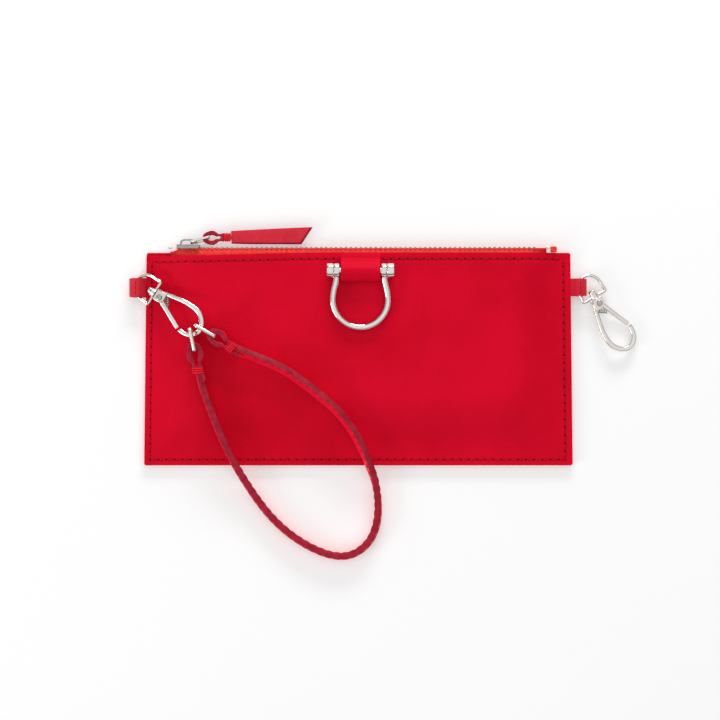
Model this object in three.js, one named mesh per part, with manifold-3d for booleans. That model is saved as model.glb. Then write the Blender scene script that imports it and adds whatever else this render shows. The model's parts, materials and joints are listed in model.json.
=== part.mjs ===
// A zip-top leather wristlet wallet, lying on its back: X runs along the zip,
// Y from the bottom seam up to the zip, Z out of the front face. Millimetres.
import * as THREE from "three";
import { mergeVertices } from "three/addons/utils/BufferGeometryUtils.js";
import Module from "manifold-3d";

const wasm = await Module();
wasm.setup();

// Driving dimensions
const GAP = 0.3; // air between pieces that touch
const LEATHER = 1.2;
const POUCH = { bottomWidth: 216.8, topWidth: 214.4, bottom: -53.5, top: 54, depth: 9.2 };
const SEAM_DEPTH = 2 * LEATHER + GAP;
const SEAM_MARGIN = 3; // flat border outside the stitching
const RAMP = { side: 27, zipSide: 20, bottom: 32 }; // widths over which the face rises
const LINING = { thick: 0.4, inset: 16, top: 43.5, clear: 0.6 };
const ZIP = { middle: 4.6, half: 95, tape: 0.5, sewn: 44, lip: 54.5, crest: 55.2 };
const TEETH = { bottom: 55.9, top: 57, pitch: 2.5, width: 0.9, reach: 2.6, rail: 1.2 };
const SLIDER = { x: -91.7, length: 11.7, width: 9, top: 58.2, skin: 0.9 };
const LINK = { pivotX: -84.4, pivotY: 59.2, length: 9.2, width: 7.4, bar: 1.1, tilt: 14 };
const PULL = { leather: 1.3, neck: 6.6, eyeWidth: 6.8, eyeDepth: 4, stripDepth: 2.4, lean: 2.2 };
const SHACKLE = { x: 1, y: 44.8, z: 13.4, wire: 1.7, radius: 13.9, arm: 11.9, drop: 14.7 };
const TAB = { width: 9, leather: 1, hole: 2.75, lift: 3.8 };
const CLASP = { wire: 1.7, half: 6.35, side: 5, pivot: 4.2, gateLength: 18.1, gateAngle: 23.5 };
const LEFT = { hingeX: -112.05, x: 9.5, y: 33.6, yaw: -33, tilt: 18.5, tabY: 36.3 };
const RIGHT = { hingeX: 111.6, x: 7.8, y: 31.9, yaw: -60, tilt: -2, roll: -10, tabY: 36.5 };
const RING = { length: 13, height: 10.6, wire: 2, caught: 4.1, corner: 1.9 };
const BAND = { width: 6, thick: 3.2 };
const EYE = { width: 7.6, leather: 1.3, wrap: 3.4 };

const degrees = THREE.MathUtils.degToRad;
const wallet = new THREE.Group();

const materials = {
  leather: new THREE.MeshStandardMaterial({ color: 0xc4071f, roughness: 0.6, metalness: 0 }),
  lining: new THREE.MeshStandardMaterial({ color: 0x8f1a26, roughness: 0.9, metalness: 0 }),
  tape: new THREE.MeshStandardMaterial({ color: 0xe8392f, roughness: 0.9, metalness: 0 }),
  thread: new THREE.MeshStandardMaterial({ color: 0xdd2233, roughness: 0.8, metalness: 0 }),
  nickel: new THREE.MeshStandardMaterial({ color: 0xd2d0cc, roughness: 0.18, metalness: 1 }),
  steel: new THREE.MeshStandardMaterial({ color: 0x9c9a96, roughness: 0.35, metalness: 1 }),
};

// Adds one named piece to a group.
function piece(name, geometry, material, parent = wallet) {
  const mesh = new THREE.Mesh(geometry, materials[material]);
  mesh.name = name;
  parent.add(mesh);
  return mesh;
}

// Booleans
function solidOf(geometry) {
  const bare = geometry.index ? geometry.toNonIndexed() : geometry.clone();
  bare.deleteAttribute("normal");
  bare.deleteAttribute("uv");
  const merged = mergeVertices(bare, 1e-4);
  return new wasm.Manifold(
    new wasm.Mesh({
      numProp: 3,
      vertProperties: merged.attributes.position.array,
      triVerts: new Uint32Array(merged.index.array),
    }),
  );
}

function geometryOf(solid) {
  const mesh = solid.getMesh();
  const geometry = new THREE.BufferGeometry();
  geometry.setAttribute("position", new THREE.BufferAttribute(mesh.vertProperties, 3));
  geometry.setIndex(new THREE.BufferAttribute(mesh.triVerts, 1));
  return geometry;
}

const joined = (...parts) => geometryOf(parts.map(solidOf).reduce((a, b) => a.add(b)));
const cut = (base, ...tools) =>
  geometryOf(tools.map(solidOf).reduce((a, b) => a.subtract(b), solidOf(base)));

// Plain shapes
// An outline through its corners, always anticlockwise, so that holes cut cleanly.
function outline(corners) {
  const points = corners.map(([x, y]) => new THREE.Vector2(x, y));
  if (THREE.ShapeUtils.isClockWise(points)) points.reverse();
  return new THREE.Shape(points);
}

function circlePoints(radius, sides, x = 0, y = 0) {
  const at = (i) => (2 * Math.PI * i) / sides;
  return Array.from({ length: sides }, (_, i) => [
    x + radius * Math.cos(at(i)),
    y + radius * Math.sin(at(i)),
  ]);
}

function arcPoints(radius, from, to, steps, x = 0, y = 0) {
  return Array.from({ length: steps + 1 }, (_, i) => {
    const angle = degrees(from + ((to - from) * i) / steps);
    return [x + radius * Math.cos(angle), y + radius * Math.sin(angle)];
  });
}

// An outline made solid, from depth / 2 below its plane to depth / 2 above it.
function plate(shape, depth) {
  const geometry = new THREE.ExtrudeGeometry(shape, {
    depth,
    bevelEnabled: false,
    curveSegments: 8,
  });
  return geometry.translate(0, 0, -depth / 2);
}

// A rectangle from x0 to x1 and -half to half, with its corners clipped.
const clipped = (x0, x1, half, clip) => [
  [x0 + clip, -half], [x1 - clip, -half], [x1, clip - half], [x1, half - clip],
  [x1 - clip, half], [x0 + clip, half], [x0, half - clip], [x0, clip - half],
];

function ringPlate(outer, inner, depth) {
  const shape = outline(outer);
  shape.holes.push(outline(inner));
  return plate(shape, depth);
}

function along(section, points, steps) {
  return new THREE.ExtrudeGeometry(section, {
    steps,
    bevelEnabled: false,
    extrudePath: new THREE.CatmullRomCurve3(points, false, "centripetal"),
  });
}

// A turned pin on the X axis, from a closed list of [radius, x] corners.
function turned(profile, sides = 20) {
  const points = profile.map(([radius, x]) => new THREE.Vector2(radius, x));
  return new THREE.LatheGeometry(points, sides).rotateZ(-Math.PI / 2);
}

// A straight rod between two places on the X axis.
const rod = (radius, x0, x1, sides = 16) =>
  turned([[0, x0], [radius, x0], [radius, x1], [0, x1]], sides);

// The pouch
const smooth = (t) => THREE.MathUtils.smoothstep(t, 0, 1);

function halfWidth(y) {
  const up = (y - POUCH.bottom) / (POUCH.top - POUCH.bottom);
  return THREE.MathUtils.lerp(POUCH.bottomWidth, POUCH.topWidth, up) / 2;
}

// Height of the front face over the back: flat seams, a full middle, an open zip side.
function face(x, y) {
  const ramp = THREE.MathUtils.lerp(RAMP.side, RAMP.zipSide, smooth((y - 30) / 20));
  const side = (halfWidth(y) - Math.abs(x) - SEAM_MARGIN) / ramp;
  const bottom = (y - POUCH.bottom - SEAM_MARGIN) / RAMP.bottom;
  if (side <= 0 || bottom <= 0) return SEAM_DEPTH;
  const nearest = (side ** -4 + bottom ** -4) ** -0.25;
  return SEAM_DEPTH + (POUCH.depth - SEAM_DEPTH) * smooth(nearest);
}

// A sheet between two heights, on a grid that is finer towards its edges.
function sheet(inset, bottom, top, low, high, columns, rows) {
  const geometry = new THREE.BoxGeometry(2, 2, 2, columns, rows, 1);
  const place = geometry.attributes.position;
  for (let i = 0; i < place.count; i++) {
    const y = bottom + ((top - bottom) * (Math.sin((place.getY(i) * Math.PI) / 2) + 1)) / 2;
    const x = Math.sin((place.getX(i) * Math.PI) / 2) * (halfWidth(y) - inset);
    const z = place.getZ(i) < 0 ? low(x, y) : high(x, y);
    place.setXYZ(i, x, y, z);
  }
  return geometry;
}

function pouch() {
  const under = (depth) => (x, y) => face(x, y) - depth;
  const front = sheet(0, POUCH.bottom, POUCH.top, under(LEATHER), face, 40, 16);
  const back = sheet(0, POUCH.bottom, POUCH.top, () => 0, () => LEATHER, 1, 1);
  piece("front_panel", front, "leather");
  piece("back_panel", back, "leather");
  const low = POUCH.bottom + LINING.inset;
  const drop = LEATHER + LINING.clear;
  const inner = [under(drop + LINING.thick), under(drop), 24, 10];
  const floor = LEATHER + GAP;
  const outer = [() => floor, () => floor + LINING.thick, 1, 1];
  piece("front_lining", sheet(LINING.inset, low, LINING.top, ...inner), "lining");
  piece("back_lining", sheet(LINING.inset, low, LINING.top, ...outer), "lining");
}

// One zip tape: sewn up inside a panel, then turned over towards the teeth.
function tape(wall, side) {
  const geometry = new THREE.BoxGeometry(2, 3, 2, 40, 3, 1);
  const place = geometry.attributes.position;
  for (let i = 0; i < place.count; i++) {
    const x = Math.sin((place.getX(i) * Math.PI) / 2) * ZIP.half;
    const row = Math.round(place.getY(i) + 1.5);
    const out = (place.getZ(i) * side * ZIP.tape) / 2;
    const y = [ZIP.sewn, ZIP.lip - 2, ZIP.lip, ZIP.crest][row] + (row === 3 ? out * side : 0);
    const edge = ZIP.middle + side * 0.5;
    place.setXYZ(i, x, y, row === 3 ? edge : wall(x) + out);
  }
  if (side < 0) geometry.index.array.reverse();
  return geometry;
}

// A comb of zip teeth on one rail: teeth reach past the middle, between the other side's.
function teeth(side) {
  const count = Math.floor((2 * ZIP.half - 6) / TEETH.pitch);
  const start = -(count * TEETH.pitch) / 2 + (side > 0 ? 0 : TEETH.pitch / 2);
  const points = [[start - 1.5, TEETH.reach], [start - 1.5, TEETH.rail]];
  for (let i = 0; i < count; i++) {
    const x = start + i * TEETH.pitch;
    const half = TEETH.width / 2;
    points.push([x - half, TEETH.rail], [x - half, -1], [x + half, -1], [x + half, TEETH.rail]);
  }
  const end = start + (count - 1) * TEETH.pitch + 1.5;
  points.push([end, TEETH.rail], [end, TEETH.reach]);
  const mirrored = points.map(([x, z]) => [x, side * z]);
  const comb = plate(outline(mirrored), TEETH.top - TEETH.bottom);
  return comb.rotateX(Math.PI / 2);
}

function block(x0, x1, y0, y1, z0, z1) {
  const geometry = new THREE.BoxGeometry(x1 - x0, y1 - y0, z1 - z0);
  return geometry.translate((x0 + x1) / 2, (y0 + y1) / 2, (z0 + z1) / 2);
}

function zip() {
  const height = (TEETH.top + TEETH.bottom) / 2;
  const inside = LEATHER + 0.45 + ZIP.tape / 2;
  piece("zip_tape_front", tape((x) => face(x, ZIP.lip - 4) - inside, 1), "tape");
  piece("zip_tape_back", tape(() => LEATHER + GAP + ZIP.tape / 2, -1), "tape");
  for (const [name, side] of [["zip_teeth_front", 1], ["zip_teeth_back", -1]]) {
    const points = teeth(side);
    piece(name, points, "nickel").position.set(0, height, ZIP.middle);
  }
  const { bottom, top } = TEETH;
  const low = ZIP.middle - TEETH.reach;
  const high = ZIP.middle + TEETH.reach;
  piece("zip_stop_front", block(-96, -94.3, bottom, top, ZIP.middle + 0.2, high), "nickel");
  piece("zip_stop_back", block(-96, -94.3, bottom, top, low, ZIP.middle - 0.2), "nickel");
  piece("zip_stop_end", block(94.6, 96.6, bottom, top, low, high), "nickel");
  piece("zip_end_fold", block(97.2, 100.2, POUCH.top + GAP, top + 0.2, 0.6, 5.2), "tape");
}

// The slider rides on the teeth: a hooded upper shield, a bridge, and a lower shield.
function slider() {
  const { x, length, width, top, skin } = SLIDER;
  const half = width / 2;
  const mid = ZIP.middle;
  const hood = block(x, x + length, TEETH.top + GAP, top, mid - half, mid + half);
  const cheek = (z) => block(x, x + length, TEETH.bottom + 0.1, top, z, z + skin);
  const bridge = ringPlate(
    [[1, 0], [1.8, 2.4], [3, 2.9], [9, 2.9], [10.2, 2.4], [11, 0]].map(([a, b]) => [a, b - 0.2]),
    [[2.2, 0.1], [2.9, 2], [9.1, 2], [9.8, 0.1]],
    2.2,
  ).translate(x, top, mid);
  const shell = joined(hood, cheek(mid - half), cheek(mid + half - skin), bridge);
  piece("zip_slider", shell, "nickel");
  piece("zip_slider_lower", block(x + 1.5, x + length - 0.6, 53.2, 54.3, 2.4, 4.7), "nickel");
}

// Link and leather pull, each drawn from its own pivot.
function pull() {
  const link = new THREE.Group();
  link.position.set(LINK.pivotX, LINK.pivotY, ZIP.middle);
  link.rotation.z = degrees(LINK.tilt);
  wallet.add(link);
  const half = LINK.bar / 2;
  const frame = ringPlate(
    [[-half, -LINK.width / 2], [LINK.length + half, -LINK.width / 2],
      [LINK.length + half, LINK.width / 2], [-half, LINK.width / 2]],
    [[half, half - LINK.width / 2 + half], [LINK.length - half, half - LINK.width / 2 + half],
      [LINK.length - half, LINK.width / 2 - LINK.bar], [half, LINK.width / 2 - LINK.bar]],
    LINK.bar,
  ).rotateX(Math.PI / 2);
  piece("pull_link", frame, "nickel", link);

  const hand = new THREE.Group();
  hand.position.x = LINK.length;
  hand.rotation.z = degrees(PULL.lean - LINK.tilt);
  link.add(hand);
  const eye = eyeOutline(PULL.neck, PULL.eyeWidth, PULL.leather, LINK.bar / 2 + GAP);
  const loop = ringPlate(eye.outer, eye.inner, PULL.eyeDepth);
  const neck = block(6, 12, -PULL.leather, PULL.leather, -1.6, 1.6);
  const cutAtASlant = outline([[11.3, -2.8], [46, -4.3], [51.6, 3.6], [11.3, 3.2]]);
  const strip = plate(cutAtASlant, PULL.stripDepth);
  piece("zip_pull", joined(loop, neck, strip), "leather", hand);
  const wrap = ringPlate(
    [[-2.2, -2.3], [2.2, -2.3], [2.2, 2.3], [-2.2, 2.3]],
    [[-1.6, -1.9], [1.6, -1.9], [1.6, 1.9], [-1.6, 1.9]],
    3.2,
  );
  wrap.scale(1.35, 1.05, 1).rotateZ(Math.PI / 2).rotateY(Math.PI / 2);
  piece("zip_pull_binding", wrap, "thread", hand).position.x = 9.3;
}

// A leather eye drawn out from a bar at the origin to a neck at neckX.
function eyeOutline(neckX, width, leather, hole) {
  const half = width / 2;
  const back = hole + leather;
  const side = [[-back * 0.2, half * 0.72], [neckX * 0.3, half], [neckX * 0.75, half * 0.55]];
  const inside = side.map(([x, y]) => [x, y - leather]);
  const mirror = (points) => points.map(([x, y]) => [x, -y]).reverse();
  const outer = [[-back, -hole * 0.9], ...mirror(side).reverse(), [neckX + 1, -leather],
    [neckX + 1, leather], ...side.reverse(), [-back, hole * 0.9]];
  const inner = [[-hole, -hole * 0.9], ...mirror(inside).reverse(), [neckX - 0.4, -0.1],
    [neckX - 0.4, 0.1], ...inside.reverse(), [-hole, hole * 0.9]];
  return { outer, inner };
}

// The shackle on the front: a leather tab, a cross pin with a cap, and a horseshoe bow.
function shackle() {
  const { x, y, z, wire, radius, arm, drop } = SHACKLE;
  const base = POUCH.depth + GAP;
  const tabProfile = [
    [[POUCH.top, base], [POUCH.top, base + 2.4], [49.5, base + 2.7], [47.4, z + 2.7],
      [45.6, z + 3.2], [43.4, z + 3.2], [40.6, z + 1.9], [39, z - 0.6], [39.2, base + 1], [40, base]],
    [[48.4, base + 1.5], [46.6, z + 1.6], [45.2, z + 2.1], [43.8, z + 2.1], [41.3, z + 1],
      [40.2, z - 0.6], [40.4, base + 1.3]],
  ];
  const upright = new THREE.Matrix4().makeBasis(
    new THREE.Vector3(0, 1, 0),
    new THREE.Vector3(0, 0, 1),
    new THREE.Vector3(1, 0, 0),
  );
  const strap = ringPlate(...tabProfile, 21).applyMatrix4(upright);
  piece("shackle_tab", strap, "leather").position.x = x + 0.1;

  const pin = new THREE.Group();
  pin.position.set(x, y, z);
  wallet.add(pin);
  const shank = turned([
    [0, -16.9], [3.2, -16.9], [3.8, -16.2], [3.8, -14],
    [3.2, -13.3], [1.6, -13.3], [1.6, 15.4], [0, 15.4],
  ]);
  piece("shackle_pin", shank, "nickel", pin);
  const cap = turned([
    [1.9, 13.3], [3.2, 13.3], [3.8, 14], [3.8, 16.3],
    [3.2, 17], [0, 17], [0, 15.7], [1.9, 15.7], [1.9, 13.3],
  ]);
  piece("shackle_cap", cap, "nickel", pin);

  const bow = new THREE.Group();
  bow.rotation.x = degrees(4.2);
  pin.add(bow);
  const shoulder = [[arm + 0.55, -6.3], [radius - 0.55, -9.9]];
  const bend = [
    ...shoulder.map(([u, v]) => [-u, v]), ...arcPoints(radius, 172, 368, 20, 0, -drop),
    ...shoulder.reverse(),
  ].map(([u, v]) => new THREE.Vector3(u, v, 0));
  const hoop = along(outline(circlePoints(wire, 10)), bend, 40);
  const tongue = [[0, 0], ...arcPoints(3.4, -60, 240, 12)].slice(1);
  const eye = (side) =>
    ringPlate([...tongue, [-1.7, -7.4], [1.7, -7.4]], circlePoints(1.95, 16), 2.2)
      .rotateY(Math.PI / 2)
      .translate(side * arm, 0, 0);
  piece("shackle_bow", joined(hoop, eye(-1), eye(1)), "nickel", bow);
}

// A leather loop sewn into a side seam; side is -1 on the left and 1 on the right.
function sideTab(name, side, hingeX, y) {
  const root = Math.abs(hingeX) - halfWidth(y) - GAP; // distance from the loop back to the seam
  const { hole, leather, lift } = TAB;
  const outerLoop = arcPoints(hole + leather, -100, 100, 14);
  const innerLoop = arcPoints(hole, -125, 125, 14);
  const foot = [[-root, 2.8 - lift], [-root, 0.2 - lift]];
  const hollow = [...innerLoop, [-root + 0.9, 1.5 - lift]];
  const profile = ringPlate([...outerLoop, ...foot], hollow, TAB.width);
  profile.rotateX(Math.PI / 2);
  if (side < 0) profile.rotateZ(Math.PI);
  piece(name, profile, "leather").position.set(hingeX, y, lift);
}

// A swivel snap hook. Its own frame: origin in the base bar, x towards the hook's far end,
// y towards the gate, z through its thickness.
function clasp(name, parent, roll, gateSide) {
  const { wire, half, side, pivot } = CLASP;
  const edge = wire / 2;
  const back = (r) => arcPoints(r, 90, 270, 16, -side, 0);
  const dee = ringPlate(
    [[edge, -half - edge], [edge, half + edge], ...back(half + edge)],
    [[-edge, -half + edge], [-edge, half - edge], ...back(half - edge)],
    wire,
  );
  const deeRing = cut(joined(dee, rod(2.2, -1.5, edge)), rod(1.2, -3, 3));
  piece(name + "_d_ring", deeRing, "nickel", parent);

  const hook = new THREE.Group();
  hook.rotation.x = degrees(roll);
  parent.add(hook);
  const post = turned([
    [0, -3.5], [1.5, -3.5], [1.9, -3], [1.9, -1.8], [0.85, -1.8], [0.85, 1.1], [0, 1.1],
  ]);
  piece(name + "_swivel_post", post, "nickel", hook);

  const turn = (geometry) => (gateSide > 0 ? geometry : geometry.rotateX(Math.PI));
  const core = plate(hookOutline(), 2.6);
  const cheek = outline([[1.4, -2.6], [6.9, -3.9], [6.9, 0.6], [5.6, 2.1], [4, 2.5], [1.4, 2.3]]);
  cheek.holes.push(outline(circlePoints(1.1, 14, pivot, 0)));
  const cheeks = [-1, 1].map((s) => plate(cheek, 1).translate(0, 0, s * 1.7));
  piece(name + "_hook", turn(joined(core, ...cheeks)), "nickel", hook);

  const rivetProfile = [
    [0, -2.8], [1, -2.8], [1.5, -2.5], [0.8, -2.5], [0.8, 2.5], [1.5, 2.5], [1, 2.8], [0, 2.8],
  ];
  const rivet = turned(rivetProfile, 16).rotateY(Math.PI / 2).translate(pivot, 0, 0);
  piece(name + "_gate_rivet", turn(rivet), "steel", hook);

  const gate = plate(gateOutline(), 1.9).rotateZ(degrees(CLASP.gateAngle)).translate(pivot, 0, 0);
  piece(name + "_gate", turn(gate), "nickel", hook);

  const coil = ringPlate(circlePoints(1.1, 12), circlePoints(0.7, 12), 1.5);
  coil.rotateX(Math.PI / 2).translate(8.9, -1.5, 0);
  piece(name + "_gate_spring", turn(coil), "steel", hook);
  return hook;
}

// Spine, far arc and nose of the hook, with its socket for the gate at the root.
function hookOutline() {
  const shape = new THREE.Shape();
  const through = (points) => shape.splineThru(points.map(([x, y]) => new THREE.Vector2(x, y)));
  shape.moveTo(1.4, 2);
  shape.lineTo(1.4, -2.5);
  shape.lineTo(2.4, -3.2);
  through([
    [9.4, -5.1], [16.6, -6.6], [22, -6.9], [26.2, -6.2], [30.4, -2.9], [32.4, 2], [30.3, 6.9], [26.2, 9.1],
  ]);
  shape.lineTo(21, 9.3);
  shape.lineTo(21.9, 7);
  through([
    [25.7, 6.8], [28.4, 4.9], [29.8, 1.8], [28.3, -1.5], [25.2, -3.7], [21, -4.4], [15.7, -4.1], [9.4, -2.8],
  ]);
  shape.lineTo(6.4, -2.4);
  shape.lineTo(2.1, -2.4);
  shape.lineTo(2.1, 2);
  shape.closePath();
  return shape;
}

// The gate in its own frame: an eye at the origin and a bar along x.
function gateOutline() {
  const eye = arcPoints(1.85, 90, 345, 12);
  const shape = outline([[CLASP.gateLength, 1.85], ...eye, [CLASP.gateLength, -0.3]]);
  shape.holes.push(outline(circlePoints(1.1, 14)));
  return shape;
}

// One clasp lying on the left end of the face, the other off the right edge.
function clasps() {
  const hang = (end, name) => {
    const hinge = new THREE.Group();
    hinge.position.set(end.hingeX, 0, TAB.lift);
    hinge.rotation.y = -degrees(end.tilt);
    wallet.add(hinge);
    const base = new THREE.Group();
    base.position.set(end.x, end.y, 0);
    base.rotation.z = degrees(end.yaw);
    hinge.add(base);
    return clasp(name, base, end.roll ?? 0, name === "right" ? 1 : -1);
  };
  sideTab("left_tab", -1, LEFT.hingeX, LEFT.tabY);
  sideTab("right_tab", 1, RIGHT.hingeX, RIGHT.tabY);
  hang(RIGHT, "right");
  return hang(LEFT, "left");
}

// Where each strap ring is caught on the left hook, in the hook's own frame.
const CAUGHT = { a: [28.6, -6.8], b: [31.1, -1.2] };
const RING_YAW = { a: -78.3, b: -29.2 };
const RING_LIFT = { a: 9.3, b: 9.7 };
const NECK = { a: [-80.5, -5.8], b: [-63.4, 5.9] };
const TAIL = { a: [-79.1, -11.8], b: [-57.5, 3.4] };

// The strap's own route, from the neck of end b round to the neck of end a.
const ROUTE = [
  [-57.2, 3.3, 14.2], [-48, -0.3, 14], [-37.6, -5, 13.8], [-28, -11.4, 13.7], [-21.3, -16.5, 13.7],
  [-13.9, -22.7, 13.5], [-8, -28.8, 12.9], [-2.1, -37, 11.2], [2.4, -45.8, 8.8], [5.7, -53.8, 6.7],
  [8.3, -61.6, 4.9], [9.8, -70, 3.6], [10, -77.5, 3.2], [8.7, -85.2, 3.2], [5.4, -92, 3.2],
  [-0.3, -97.2, 3.2], [-6.8, -99.4, 3.2], [-14.2, -98.8, 3.2], [-22.6, -95.7, 3.2], [-30.2, -91.4, 3.2],
  [-37.6, -85.9, 3.2], [-45, -78.6, 3.2], [-51.5, -70.3, 3.6], [-57, -62, 4.9], [-61.4, -54.6, 6.7],
  [-65.8, -46.4, 8.8], [-69.8, -37.4, 10.9], [-73.6, -27.7, 12.3], [-76.6, -19.6, 12.8], [-79, -12.1, 13.3],
];

// A strap end: leather eye round its ring's far bar, bound at the neck, then two layers.
function strapEnd(key, hook) {
  const caught = hook.localToWorld(new THREE.Vector3(CAUGHT[key][0], CAUGHT[key][1], 0));
  const yaw = degrees(RING_YAW[key]);
  const lift = RING_LIFT[key] + RING.height / 2;
  const ring = new THREE.Group();
  ring.position.set(caught.x, caught.y, lift);
  ring.rotation.z = yaw;
  wallet.add(ring);
  const start = -RING.caught;
  const end = start + RING.length;
  const top = RING.height / 2;
  const { wire } = RING;
  const frame = ringPlate(
    clipped(start, end, top, RING.corner),
    clipped(start + wire, end - wire, top - wire, 0.3),
    wire,
  );
  piece("strap_ring_" + key, frame.rotateX(Math.PI / 2), "nickel", ring);

  const bar = new THREE.Vector3(end - wire / 2, 0, 0).applyAxisAngle(new THREE.Vector3(0, 0, 1), yaw);
  bar.add(ring.position);
  const [neckX, neckY] = NECK[key];
  const eye = new THREE.Group();
  eye.position.copy(bar);
  eye.rotation.z = Math.atan2(neckY - bar.y, neckX - bar.x);
  wallet.add(eye);
  const reach = Math.hypot(neckX - bar.x, neckY - bar.y);
  const shape = eyeOutline(reach - 1.8, EYE.width, EYE.leather, wire / 2 + GAP);
  const loop = ringPlate(shape.outer, shape.inner, BAND.width);
  const tail = Math.hypot(TAIL[key][0] - neckX, TAIL[key][1] - neckY);
  const bend = Math.atan2(TAIL[key][1] - neckY, TAIL[key][0] - neckX) - eye.rotation.z;
  const layers = block(-1.8, tail, -BAND.thick / 2, BAND.thick / 2, -BAND.width / 2, BAND.width / 2);
  layers.rotateZ(bend).translate(reach, 0, 0);
  piece("strap_eye_" + key, joined(loop, layers), "leather", eye);

  const thick = BAND.thick / 2 + GAP;
  const tall = BAND.width / 2 + GAP;
  const box = (y, z) => [[-z, -y], [z, -y], [z, y], [-z, y]];
  const wrap = ringPlate(box(thick + 0.7, tall + 0.7), box(thick + 0.1, tall), EYE.wrap);
  wrap.rotateY(Math.PI / 2);
  piece("strap_binding_" + key, wrap, "thread", eye).position.x = reach;
}

function strap(hook) {
  wallet.updateMatrixWorld(true);
  strapEnd("a", hook);
  strapEnd("b", hook);
  const route = ROUTE.map((p) => new THREE.Vector3(...p));
  const { width, thick } = BAND;
  const section = outline(clipped(-width / 2, width / 2, thick / 2, 0.6));
  piece("wrist_strap", along(section, route, 70), "leather");
}

pouch();
zip();
slider();
pull();
shackle();
strap(clasps());

export default wallet;
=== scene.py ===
# A red leather zip-top wristlet wallet lying on its back, seen straight from above.
import json
import math

import bmesh
import bpy
from mathutils import Matrix, Vector


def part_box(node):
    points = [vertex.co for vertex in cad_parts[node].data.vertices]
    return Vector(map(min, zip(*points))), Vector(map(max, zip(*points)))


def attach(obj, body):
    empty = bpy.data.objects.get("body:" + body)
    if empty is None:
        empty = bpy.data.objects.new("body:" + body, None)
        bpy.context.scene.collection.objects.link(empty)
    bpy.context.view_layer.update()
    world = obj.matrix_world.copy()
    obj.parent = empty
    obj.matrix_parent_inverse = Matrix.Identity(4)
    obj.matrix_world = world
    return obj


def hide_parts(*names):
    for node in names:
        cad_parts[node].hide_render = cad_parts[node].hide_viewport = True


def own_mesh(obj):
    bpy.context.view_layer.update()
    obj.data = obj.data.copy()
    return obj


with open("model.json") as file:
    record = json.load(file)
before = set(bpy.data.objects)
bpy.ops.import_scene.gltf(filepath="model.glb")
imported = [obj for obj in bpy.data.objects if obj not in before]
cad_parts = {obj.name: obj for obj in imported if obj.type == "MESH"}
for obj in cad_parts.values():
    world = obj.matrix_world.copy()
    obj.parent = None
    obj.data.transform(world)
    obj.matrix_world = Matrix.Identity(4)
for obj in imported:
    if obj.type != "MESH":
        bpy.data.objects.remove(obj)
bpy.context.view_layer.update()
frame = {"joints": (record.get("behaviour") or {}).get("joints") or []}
SCENE = bpy.context.scene
UP = Vector((0, 0, 1))

# Driving dimensions, in millimetres and degrees
MM = 0.001  # metres in a millimetre
SHARP_EDGE = 40
LEATHER = 1.2
GAP = 0.3
POUCH = {"bottom_width": 216.8, "top_width": 214.4, "bottom": -53.5, "top": 54, "depth": 9.2}
CORNER = 0.9
SEAM_DEPTH = 2 * LEATHER + GAP
SEAM_MARGIN = 3
RAMP = {"side": 27, "zip_side": 20, "bottom": 32}
LINING = {"thick": 0.35, "inset": 16, "top": 43.5, "clear": 0.8}
STITCH = {"pitch": 4.1, "length": 3.1, "radius": 0.36, "slant": 7}
STITCH_INSET = {"left": 2.9, "bottom": 2.9, "right": 3.8, "top": 3.2}
GROOVE_INSET = 3
ZIP = {"middle": 4.6, "pitch": 2.5, "teeth": 73, "tape": 0.45, "half_length": 95}
TAB = {"thick": 1.2, "half_width": 10.2, "root": 53.9}
SIDE_TAB = {"hole": 2.75, "leather": 1.0, "lift": 3.8}
CLASP = {"gate_pivot": 4.2, "gate_bore": 1.1, "gate_angle": 23.5}
BAND = {"width": 6, "thick": 3.2}
RING = {"length": 13, "height": 10.6, "wire": 2, "start": -4.1}

# The strap: where its band meets the two bound necks, how each ring hangs on the hook, and
# the band's middle line from neck b, over the bottom edge, round on the table and back to a
NECK = {"a": (-80.2, -5.2, 13.9), "b": (-62.9, 5.7, 14.5)}
STRAP_ENDS = {
    "a": {"yaw": -78.3, "caught": (-83.807, 12.32), "neck": (-80.5, -5.8), "tail": (-79.1, -11.8), "flap": 1},
    "b": {"yaw": -29.2, "caught": (-78.926, 15.655), "neck": (-63.4, 5.9), "tail": (-57.5, 3.4), "flap": -1},
}
ROUTE = [
    (-57.2, 3.3, 14.2), (-48, -0.3, 14), (-37.6, -5, 13.8), (-28, -11.4, 13.7), (-21.3, -16.5, 13.7),
    (-13.9, -22.7, 13.5), (-8, -28.8, 12.9), (-2.1, -37, 11.2), (2.4, -45.8, 8.8), (5.7, -53.8, 6.7),
    (8.3, -61.6, 4.9), (9.8, -70, 3.6), (10, -77.5, 3.2), (8.7, -85.2, 3.2), (5.4, -92, 3.2),
    (-0.3, -97.2, 3.2), (-6.8, -99.4, 3.2), (-14.2, -98.8, 3.2), (-22.6, -95.7, 3.2), (-30.2, -91.4, 3.2),
    (-37.6, -85.9, 3.2), (-45, -78.6, 3.2), (-51.5, -70.3, 3.6), (-57, -62, 4.9), (-61.4, -54.6, 6.7),
    (-65.8, -46.4, 8.8), (-69.8, -37.4, 10.9), (-73.6, -27.7, 12.3), (-76.6, -19.6, 12.8), (-79, -12.1, 13.3),
]


def camera():
    data = bpy.data.cameras.new("camera")
    data.sensor_width = 36
    data.lens = 157.9
    data.clip_start = 0.05
    made = bpy.data.objects.new("camera", data)
    made.location = (0.0008, -0.0002, 1.6)
    SCENE.collection.objects.link(made)
    SCENE.camera = made
    SCENE.view_settings.view_transform = "Standard"


camera()


# Materials
def linear(*srgb):
    """A colour given as 0-255 screen values, made linear for the shader."""
    share = [c / 255 for c in srgb]
    return [c / 12.92 if c < 0.04045 else ((c + 0.055) / 1.055) ** 2.4 for c in share] + [1]


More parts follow.
